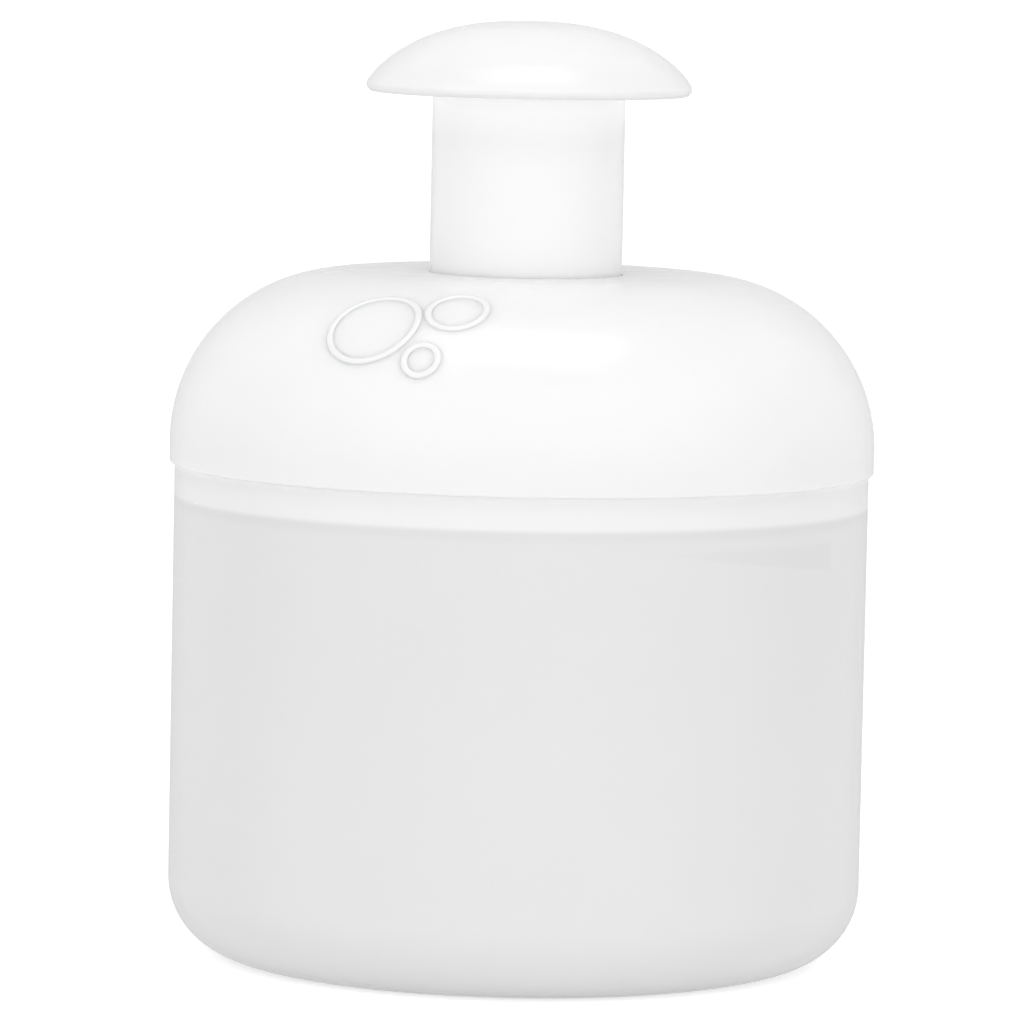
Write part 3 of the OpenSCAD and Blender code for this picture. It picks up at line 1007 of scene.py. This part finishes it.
def build_net_frame():
    """Ring, ledge, hub and spokes that carry the net between the plates."""
    low, high = net_frame_lo.z, net_frame_hi.z
    ledge_z = net_lo.z
    radius = net_frame_hi.x
    edge = WHISK_EDGE
    bore_r = STEM_R + WHISK_PLAY
    inner_r = radius - FRAME_W
    bm = bmesh.new()
    outer_low, outer_high = sweep(bm, rounded([
        (radius - 2 * edge, low, 0), (radius, low, edge), (radius, high, edge),
        (inner_r, high, edge), (inner_r, ledge_z, 0),
    ], steps=5, closed=False))
    bore_low, bore_high = sweep(bm, [(bore_r, low), (bore_r, ledge_z)])
    walls = [hole_wall(bm, loop, low, ledge_z, HOLE_CHAMFER) for loop in frame_windows()]
    fill_flat(bm, [outer_high, bore_high] + [rim for _, rim in walls], up=True)
    fill_flat(bm, [outer_low, bore_low] + [rim for rim, _ in walls], up=False)
    new_object("net_frame_ring", bm, "plunger", ["whisk_net_frame"], natural)


NET_PITCH = 2.0 * MM
STRAND_R = 0.1 * MM
STRAND_SIDES = 6
STRAND_STEPS = 4                # rings along a strand in one pitch of the net
STEM_CLEAR = 0.3 * MM
NET_SHARP = 70                  # degrees, so that the strands' six sides look round


def strand(bm, start, end, along, across, offset, phase):
    """One wavy strand of the net between two places along an axis."""
    middle = (net_lo.z + net_hi.z) / 2
    lift = (net_hi.z - net_lo.z) / 2 - STRAND_R
    steps = max(2, round((end - start) / (NET_PITCH / STRAND_STEPS)))
    rings = []
    for i in range(steps + 1):
        place = start + (end - start) * i / steps
        height = middle + lift * math.cos(math.pi * place / NET_PITCH + phase)
        centre = along * place + across * offset + Vector((0, 0, height))
        rings.append([
            bm.verts.new(centre + STRAND_R * (across * math.cos(a) + Vector((0, 0, math.sin(a)))))
            for a in (2 * math.pi * k / STRAND_SIDES for k in range(STRAND_SIDES))
        ])
    for one, two in zip(rings, rings[1:]):
        bridge(bm, one, two)
    bm.faces.new(rings[0])
    bm.faces.new(rings[-1])


def build_net():
    """Woven nylon net: wavy strands along X and along Y that pass over and under each other."""
    radius = net_hi.x
    clear = STEM_R + STEM_CLEAR
    half = math.floor(radius / NET_PITCH)
    x_axis, y_axis = Vector((1, 0, 0)), Vector((0, 1, 0))
    bm = bmesh.new()
    for turn, (along, across) in enumerate(((x_axis, y_axis), (y_axis, x_axis))):
        for i in range(-half, half + 1):
            offset = i * NET_PITCH
            reach = math.sqrt(radius ** 2 - offset ** 2) - STRAND_R
            if reach < NET_PITCH:
                continue
            phase = math.pi * (i + turn)
            if abs(offset) < clear:
                gap = math.sqrt(clear ** 2 - offset ** 2)
                strand(bm, -reach, -gap, along, across, offset, phase)
                strand(bm, gap, reach, along, across, offset, phase)
            else:
                strand(bm, -reach, reach, along, across, offset, phase)
    new_object("net_weave", bm, "plunger", ["whisk_net"], strand_white, smooth=NET_SHARP)


LOCK_SLOT_W = 1.4 * MM
LOCK_SLOT_DEPTH = 0.5 * MM
LOCK_HEAD_T = 1.0 * MM
LOCK_BARB_H = 0.9 * MM
LOCK_BARB_R = STEM_R + 0.4 * MM
LOCK_SEGMENTS = 96
TOO_SMALL = 0.001 * MM          # slivers that the slot's cut leaves behind


def cut_slot(cap):
    """Cuts a screwdriver slot across the underside of the lock cap's head."""
    bm = bmesh.new()
    bmesh.ops.create_cube(bm, size=1.0)
    bmesh.ops.scale(bm, vec=(4 * lock_hi.x, LOCK_SLOT_W, 2 * LOCK_SLOT_DEPTH), verts=bm.verts)
    bmesh.ops.translate(bm, vec=(0, 0, lock_lo.z), verts=bm.verts)
    cutter_mesh = bpy.data.meshes.new("slot_cutter")
    bm.to_mesh(cutter_mesh)
    bm.free()
    cutter = bpy.data.objects.new("slot_cutter", cutter_mesh)
    bpy.context.scene.collection.objects.link(cutter)
    slot = cap.modifiers.new("slot", "BOOLEAN")
    slot.operation = "DIFFERENCE"
    slot.solver = "EXACT"
    slot.object = cutter
    depsgraph = bpy.context.evaluated_depsgraph_get()
    slotted = bpy.data.meshes.new_from_object(cap.evaluated_get(depsgraph))
    cap.modifiers.clear()
    cap.data = slotted
    bm = bmesh.new()
    bm.from_mesh(slotted)
    bmesh.ops.remove_doubles(bm, verts=bm.verts, dist=TOO_SMALL)
    bmesh.ops.dissolve_degenerate(bm, edges=bm.edges, dist=TOO_SMALL)
    bm.to_mesh(slotted)
    bm.free()
    slotted.set_sharp_from_angle(angle=math.radians(SHARP))
    bpy.data.objects.remove(cutter)


def build_lock_cap():
    """Push-in cap with a slotted head and a barbed stem."""
    head_top = lock_lo.z + LOCK_HEAD_T
    stem_r = STEM_R - WHISK_PLAY
    barb_z = lock_hi.z - LOCK_BARB_H
    edge = 0.25 * MM
    bm = bmesh.new()
    lathe(bm, rounded([
        (0, lock_lo.z, 0), (lock_hi.x, lock_lo.z, edge), (lock_hi.x, head_top, edge / 2),
        (stem_r, head_top, edge / 2), (stem_r, barb_z, edge / 2), (LOCK_BARB_R, barb_z, edge / 2),
        (stem_r, lock_hi.z, edge), (0, lock_hi.z, 0),
    ], steps=6), segments=LOCK_SEGMENTS)
    cut_slot(new_object("lock_cap_head", bm, "plunger", ["whisk_lock_cap"], natural))


build_upper_plate()
build_lower_plate()
build_hub()
build_net_frame()
build_net()
build_lock_cap()


# ---------------------------------------------------------------- stage
FLOOR_RADIUS = 30.0
FLOOR_SEGMENTS = 64
FLOOR_WHITE = 0.72
FLOOR_ROUGHNESS = 0.9
FLOOR_SPECULAR = 0.2
FLOOR_GLOW = 0.17               # light that the floor gives back to the object
FLOOR_CLEAN = 0.4               # further glow that keeps the floor pure white in the picture
# How bright the surround is, from straight in front of the object (0) round to straight behind it (1).
BELT = (
    (0.0, 1.68), (0.16, 1.62), (0.25, 0.93), (0.62, 0.86),
    (0.76, 1.0), (0.88, 0.97), (0.95, 0.8), (1.0, 0.74),
)
BELT_TOP = 2.0                  # level that a ramp's full white stands for
OVERHEAD = 0.6
UNDERFOOT = 0.8
BACKDROP = 1.05                 # what the camera sees past the object
REFLECTED = 1.0                 # most that a reflection sees, so that edges stay in range
POLE = 0.75                     # height of the edge between the belt and the poles of the surround
POLE_SOFT = 0.15
AXIS_GUARD = 0.001              # keeps the division clear of zero straight overhead
TOP_BOX_PLACE = (0.0, -0.11, 0.85)
TOP_BOX_SIZE = (0.6, 0.42)
TOP_BOX_RADIANCE = 1.38


def build_top_box():
    """Soft rectangular light overhead that looks at the object's middle."""
    data = bpy.data.lights.new("top_box", "AREA")
    data.shape = "RECTANGLE"
    width, depth = TOP_BOX_SIZE
    data.size, data.size_y = width, depth
    data.energy = TOP_BOX_RADIANCE * math.pi * width * depth
    light = bpy.data.objects.new("top_box", data)
    bpy.context.scene.collection.objects.link(light)
    light.location = TOP_BOX_PLACE
    middle = Vector((0, 0, total_height / 2))
    light.rotation_euler = (Vector(TOP_BOX_PLACE) - middle).to_track_quat("Z", "Y").to_euler()
    light.visible_camera = False


def build_floor():
    """White floor that runs to the horizon."""
    bm = bmesh.new()
    bmesh.ops.create_circle(bm, cap_ends=True, radius=FLOOR_RADIUS, segments=FLOOR_SEGMENTS)
    mesh = bpy.data.meshes.new("floor")
    bm.to_mesh(mesh)
    bm.free()
    floor = bpy.data.objects.new("floor", mesh)
    bpy.context.scene.collection.objects.link(floor)
    material, tree, shader = new_material("floor_white")
    shader.inputs["Base Color"].default_value = (*grey(FLOOR_WHITE), 1)
    shader.inputs["Roughness"].default_value = FLOOR_ROUGHNESS
    shader.inputs["Specular IOR Level"].default_value = FLOOR_SPECULAR
    shader.inputs["Emission Color"].default_value = (1, 1, 1, 1)
    path = tree.nodes.new("ShaderNodeLightPath")
    glow = math_node(tree, "MULTIPLY_ADD", path.outputs["Is Camera Ray"], FLOOR_CLEAN, FLOOR_GLOW)
    tree.links.new(glow, shader.inputs["Emission Strength"])
    mesh.materials.append(material)
    floor.visible_glossy = False


def belt_level(tree, x, y):
    """How bright the belt of the surround is in a direction."""
    reach = math_node(tree, "MAXIMUM", distance(tree, x, y), AXIS_GUARD)
    behind = math_node(tree, "MULTIPLY_ADD", math_node(tree, "DIVIDE", y, reach), 0.5, 0.5)
    ramp = tree.nodes.new("ShaderNodeValToRGB")
    ramp.color_ramp.interpolation = "EASE"
    points = ramp.color_ramp.elements
    while len(points) < len(BELT):
        points.new(0.5)
    for point, (position, level) in zip(points, BELT):
        point.position = position
        point.color = (*grey(level / BELT_TOP), 1)
    tree.links.new(behind, ramp.inputs["Fac"])
    return math_node(tree, "MULTIPLY", ramp.outputs["Color"], BELT_TOP)


def switched(tree, choice, off, on):
    """The off level where the choice is 0 and the on level where it is 1."""
    node = tree.nodes.new("ShaderNodeMapRange")
    tree.links.new(choice, node.inputs["Value"])
    tree.links.new(off, node.inputs["To Min"])
    if isinstance(on, float):
        node.inputs["To Max"].default_value = on
    else:
        tree.links.new(on, node.inputs["To Max"])
    return node.outputs["Result"]


def build_surround():
    """White studio all round: a broad bright front, dimmer sides, a paler strip and a dim back."""
    world = bpy.data.worlds.new("surround")
    bpy.context.scene.world = world
    world.use_nodes = True
    tree = world.node_tree
    background = tree.nodes["Background"]
    background.inputs["Color"].default_value = (1, 1, 1, 1)
    coords = tree.nodes.new("ShaderNodeTexCoord")
    x, y, z = axes(tree, coords.outputs["Generated"])
    level = belt_level(tree, x, y)
    down = math_node(tree, "MULTIPLY", z, -1.0)
    for height, pole in ((z, OVERHEAD), (down, UNDERFOOT)):
        level = switched(tree, step(tree, height, POLE, POLE_SOFT), level, pole)
    path = tree.nodes.new("ShaderNodeLightPath")
    mirrored = math_node(tree, "MINIMUM", level, REFLECTED)
    level = switched(tree, path.outputs["Is Glossy Ray"], level, mirrored)
    level = switched(tree, path.outputs["Is Camera Ray"], level, BACKDROP)
    tree.links.new(level, background.inputs["Strength"])


build_floor()
build_surround()
build_top_box()
bpy.context.scene.view_settings.view_transform = "Standard"
